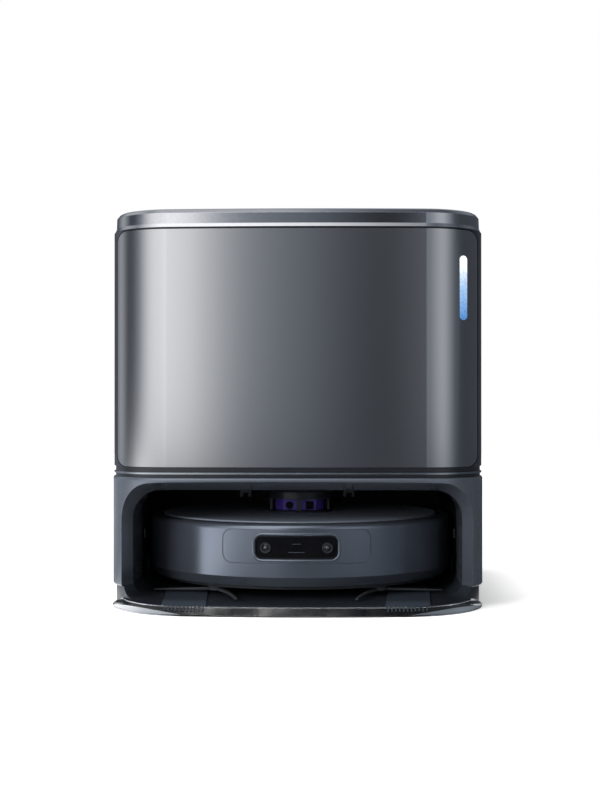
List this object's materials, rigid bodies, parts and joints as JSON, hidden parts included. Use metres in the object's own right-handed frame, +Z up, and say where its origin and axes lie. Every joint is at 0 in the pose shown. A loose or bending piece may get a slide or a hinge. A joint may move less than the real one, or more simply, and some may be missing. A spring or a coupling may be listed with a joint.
{
  "type": "robot vacuum with base station",
  "caption": "Round robot vacuum and mop parked in a tall self-emptying base station with a brushed metal front, glossy lid, open bay and clear ramp tray.",
  "frame": {"origin": "on the floor, below the middle of the whole object's box", "axes": "+Z up, -Y towards the front where the robot drives out, +X to the right seen from the front"},
  "size_m": [0.404, 0.44, 0.423],
  "materials": {
    "slate_gloss": "gloss",
    "base_slate": "satin",
    "deck_slate": "satin",
    "trim_dark": "gloss, with a bright bead",
    "slate_satin": "satin",
    "panel_metal": "fine vertical brushing",
    "lid_gloss": "gloss",
    "shell_dark": "satin",
    "cover_dark": "fine grain",
    "black_plastic": "matte",
    "chassis_plastic": "fine grain",
    "navy_plastic": "satin",
    "ramp_rubber": "satin",
    "clear_plastic": "clear",
    "tank_plastic": "tinted, translucent",
    "cap_plastic": "satin",
    "bar_light": "lit",
    "black_glass": "gloss black",
    "lidar_indigo": "gloss",
    "button_plastic": "satin",
    "roller_plastic": "satin",
    "contact_metal": "satin",
    "steel": "bright",
    "foot_rubber": "matte",
    "tyre_rubber": "matte",
    "wheel_plastic": "satin",
    "brush_rubber": "satin",
    "mop_plate": "satin",
    "mop_fabric": "microfibre loops",
    "bag_fabric": "non-woven",
    "motor_grey": "satin",
    "board_green": "satin"
  },
  "bodies": {
    "station": {"lower_shell": "slate_gloss", "base_frame": "base_slate", "groove_trim": "trim_dark", "upper_shell": "shell_dark", "back_cover": "cover_dark", "bay_liner": "black_plastic", "mains_inlet": "black_plastic", "dust_bag_collar": "black_plastic", "mid_deck": "chassis_plastic", "tray_insert": "navy_plastic", "wash_board": "navy_plastic", "wheel_ramps": "ramp_rubber", "ramp_tray": "clear_plastic", "clean_water_tank": "tank_plastic", "dirty_water_tank": "tank_plastic", "tank_caps": "cap_plastic", "charging_contacts": "contact_metal", "lid_hinge_pins": "steel", "cover_screws": "steel", "rubber_feet": "foot_rubber", "dust_bag": "bag_fabric", "suction_motor": "motor_grey", "water_pump": "motor_grey", "control_board": "board_green"},
    "lid": {"top_lid": "lid_gloss"},
    "panel": {"front_panel": "panel_metal", "light_bar": "bar_light"},
    "left_roller": {"left_guide_roller": "roller_plastic"},
    "right_roller": {"right_guide_roller": "roller_plastic"},
    "robot": {"robot_chassis": "chassis_plastic", "rear_shell": "slate_satin", "top_cover": "deck_slate", "camera_frame": "black_plastic", "camera_window": "black_glass", "camera_lenses": "black_glass", "lidar_turret": "base_slate", "battery": "motor_grey", "dust_bin": "black_plastic", "robot_fan": "black_plastic"},
    "bumper": {"bumper": "slate_satin", "camera_plate": "slate_satin"},
    "lidar": {"lidar_rotor": "lidar_indigo", "lidar_eyes": "black_glass"},
    "power_key": {"power_button": "button_plastic"},
    "home_key": {"home_button": "button_plastic"},
    "left_arm": {"left_wheel_arm": "chassis_plastic"},
    "right_arm": {"right_wheel_arm": "chassis_plastic"},
    "left_wheel": {"left_drive_wheel": "wheel_plastic", "left_drive_tyre": "tyre_rubber"},
    "right_wheel": {"right_drive_wheel": "wheel_plastic", "right_drive_tyre": "tyre_rubber"},
    "caster": {"caster_fork": "chassis_plastic"},
    "caster_roller": {"caster_wheel": "wheel_plastic"},
    "left_sweeper": {"left_side_brush": "brush_rubber"},
    "right_sweeper": {"right_side_brush": "brush_rubber"},
    "roller_brush": {"main_brush": "brush_rubber"},
    "left_mop": {"left_mop_disc": "mop_plate", "left_mop_pad": "mop_fabric"},
    "right_mop": {"right_mop_disc": "mop_plate", "right_mop_pad": "mop_fabric"}
  },
  "joints": [
    {"name": "lid_hinge", "type": "hinge", "parent": "station", "child": "lid", "pos_m": [0, 0.2088, 0.4132], "axis": [-1, 0, 0], "range_deg": [0, 85]},
    {"name": "panel_pull", "type": "slide", "parent": "station", "child": "panel", "axis": [0, -1, 0], "range_m": [0, 0.12]},
    {"name": "left_roller_spin", "type": "hinge", "parent": "station", "child": "left_roller", "pos_m": [-0.186, 0.01, 0.026], "axis": [0, 0, 1], "continuous": true},
    {"name": "right_roller_spin", "type": "hinge", "parent": "station", "child": "right_roller", "pos_m": [0.186, 0.01, 0.026], "axis": [0, 0, 1], "continuous": true},
    {"name": "robot_drive_out", "type": "slide", "parent": "station", "child": "robot", "axis": [0, -1, 0], "range_m": [0, 0.3]},
    {"name": "bumper_press", "type": "slide", "parent": "robot", "child": "bumper", "axis": [0, 1, 0], "range_m": [0, 0.004], "stiffness_N_per_m": 500},
    {"name": "lidar_spin", "type": "hinge", "parent": "robot", "child": "lidar", "pos_m": [0, 0.015, 0.1], "axis": [0, 0, 1], "continuous": true},
    {"name": "power_press", "type": "slide", "parent": "robot", "child": "power_key", "axis": [0, 0, -1], "range_m": [0, 0.001], "stiffness_N_per_m": 400},
    {"name": "home_press", "type": "slide", "parent": "robot", "child": "home_key", "axis": [0, 0, -1], "range_m": [0, 0.001], "stiffness_N_per_m": 400},
    {"name": "left_suspension", "type": "hinge", "parent": "robot", "child": "left_arm", "pos_m": [-0.0935, -0.037, 0.036], "axis": [1, 0, 0], "range_deg": [0, 6]},
    {"name": "left_wheel_spin", "type": "hinge", "parent": "left_arm", "child": "left_wheel", "pos_m": [-0.115, 0.015, 0.0423], "axis": [1, 0, 0], "continuous": true},
    {"name": "left_sweep", "type": "hinge", "parent": "robot", "child": "left_sweeper", "pos_m": [-0.088, -0.102, 0.016], "axis": [0, 0, 1], "continuous": true},
    {"name": "left_mop_spin", "type": "hinge", "parent": "robot", "child": "left_mop", "pos_m": [-0.066, 0.1, 0.016], "axis": [0, 0, 1], "continuous": true},
    {"name": "right_suspension", "type": "hinge", "parent": "robot", "child": "right_arm", "pos_m": [0.0935, -0.037, 0.036], "axis": [1, 0, 0], "range_deg": [0, 6]},
    {"name": "right_wheel_spin", "type": "hinge", "parent": "right_arm", "child": "right_wheel", "pos_m": [0.115, 0.015, 0.0423], "axis": [1, 0, 0], "continuous": true},
    {"name": "right_sweep", "type": "hinge", "parent": "robot", "child": "right_sweeper", "pos_m": [0.088, -0.102, 0.016], "axis": [0, 0, 1], "continuous": true},
    {"name": "right_mop_spin", "type": "hinge", "parent": "robot", "child": "right_mop", "pos_m": [0.066, 0.1, 0.016], "axis": [0, 0, 1], "continuous": true},
    {"name": "caster_swivel", "type": "hinge", "parent": "robot", "child": "caster", "pos_m": [0, -0.07, 0.04], "axis": [0, 0, 1], "continuous": true},
    {"name": "caster_roll", "type": "hinge", "parent": "caster", "child": "caster_roller", "pos_m": [0, -0.07, 0.0223], "axis": [1, 0, 0], "continuous": true},
    {"name": "brush_spin", "type": "hinge", "parent": "robot", "child": "roller_brush", "pos_m": [0, -0.02, 0.033], "axis": [1, 0, 0], "continuous": true}
  ],
  "couplings": [
    {"joint": "right_mop_spin", "follows": "left_mop_spin", "ratio": -1}
  ]
}
